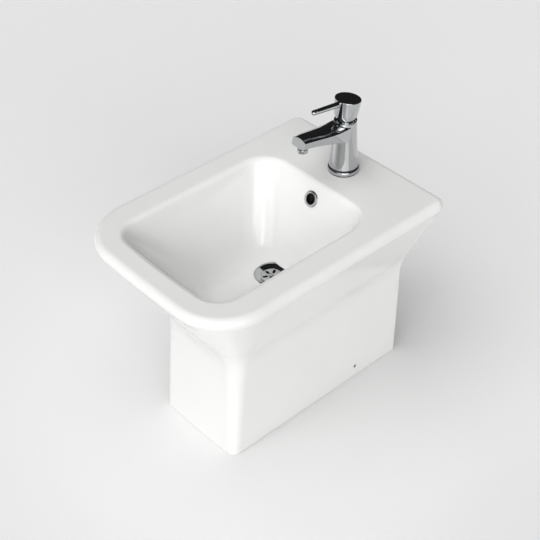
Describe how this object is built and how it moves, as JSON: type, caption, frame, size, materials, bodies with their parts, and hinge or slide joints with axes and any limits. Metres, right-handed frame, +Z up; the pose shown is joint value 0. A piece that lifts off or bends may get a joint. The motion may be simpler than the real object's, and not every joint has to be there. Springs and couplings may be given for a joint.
{
  "type": "floor standing bidet",
  "caption": "Square floor standing bidet of white china with a flared rim over a slim pedestal, a single lever mixer tap with swivel aerator, grated waste, overflow and bottle trap.",
  "frame": {"origin": "on the floor, under the middle of the whole box", "axes": "+Z up from the floor, +Y towards the wall behind it, -Y its rounded front, +X across it"},
  "size_m": [0.3596, 0.5078, 0.5487],
  "materials": {
    "glazed_china": "white vitreous china with a clear gloss glaze",
    "chrome_plate": "polished chrome plate on brass",
    "black_rubber": "matt moulded rubber",
    "white_plastic": "satin moulded polypropylene",
    "plain_brass": "machined, unplated",
    "zinc_steel": "zinc plated steel",
    "copper_pipe": null,
    "cartridge_plastic": "moulded engineering plastic",
    "alumina_disc": "lapped alumina"
  },
  "bodies": {
    "bidet": {"china_body": "glazed_china", "overflow_ring": "chrome_plate", "waste_flange_seal": "black_rubber", "waste_body": "chrome_plate", "waste_grid": "chrome_plate", "waste_screw": "chrome_plate", "waste_washer": "black_rubber", "waste_backnut": "plain_brass", "trap_inlet_nut": "white_plastic", "trap_inlet_seal": "black_rubber", "trap_inlet_tube": "white_plastic", "trap_neck_nut": "white_plastic", "trap_neck_seal": "black_rubber", "trap_shell": "white_plastic", "trap_cup_seal": "black_rubber", "trap_cup": "white_plastic", "trap_outlet_nut": "white_plastic", "trap_outlet_seal": "black_rubber", "trap_outlet_pipe": "white_plastic", "tap_base_seal": "black_rubber", "tap_base_ring": "chrome_plate", "tap_body_seal": "black_rubber", "tap_body": "chrome_plate", "tap_rubber_horseshoe": "black_rubber", "tap_plate_horseshoe": "zinc_steel", "tap_stud": "plain_brass", "tap_fixing_nut": "plain_brass", "hot_tail_pipe": "copper_pipe", "cold_tail_pipe": "copper_pipe", "cartridge_base_seal": "black_rubber", "cartridge_housing": "cartridge_plastic", "cartridge_nut": "plain_brass", "fixed_disc": "alumina_disc", "tap_dome": "chrome_plate", "aerator_seal": "black_rubber", "aerator_collar": "chrome_plate", "floor_brackets": "zinc_steel", "bracket_pads": "black_rubber", "fixing_screws": "zinc_steel"},
    "rotor": {"cartridge_rotor": "cartridge_plastic", "stem_pin": "zinc_steel"},
    "lever": {"lever_stem": "plain_brass", "handle_head": "chrome_plate", "lever_rod": "chrome_plate", "grub_screw": "zinc_steel", "handle_plug": "chrome_plate"},
    "disc": {"moving_disc": "alumina_disc", "disc_carrier": "cartridge_plastic"},
    "aerator_ball_seat": {"aerator_seat": "cartridge_plastic"},
    "aerator": {"aerator_nozzle": "chrome_plate", "aerator_insert": "cartridge_plastic"}
  },
  "joints": [
    {"name": "lever_temperature", "type": "hinge", "parent": "bidet", "child": "rotor", "pos_m": [0, 0.189, 0.505], "axis": [0, 0, 1], "range_deg": [-45, 45]},
    {"name": "lever_lift", "type": "hinge", "parent": "rotor", "child": "lever", "pos_m": [0, 0.189, 0.511], "axis": [-1, 0, 0], "range_deg": [0, 20]},
    {"name": "disc_slide", "type": "slide", "parent": "rotor", "child": "disc", "axis": [0, -1, 0], "range_m": [0, 0.0032]},
    {"name": "aerator_swivel", "type": "hinge", "parent": "bidet", "child": "aerator_ball_seat", "pos_m": [0, 0.091, 0.4945], "axis": [0, 0, 1], "continuous": true},
    {"name": "aerator_tilt", "type": "hinge", "parent": "aerator_ball_seat", "child": "aerator", "pos_m": [0, 0.091, 0.4945], "axis": [1, 0, 0], "range_deg": [-15, 15]}
  ],
  "couplings": [
    {"joint": "disc_slide", "follows": "lever_lift", "m_per_rad": 0.009}
  ]
}
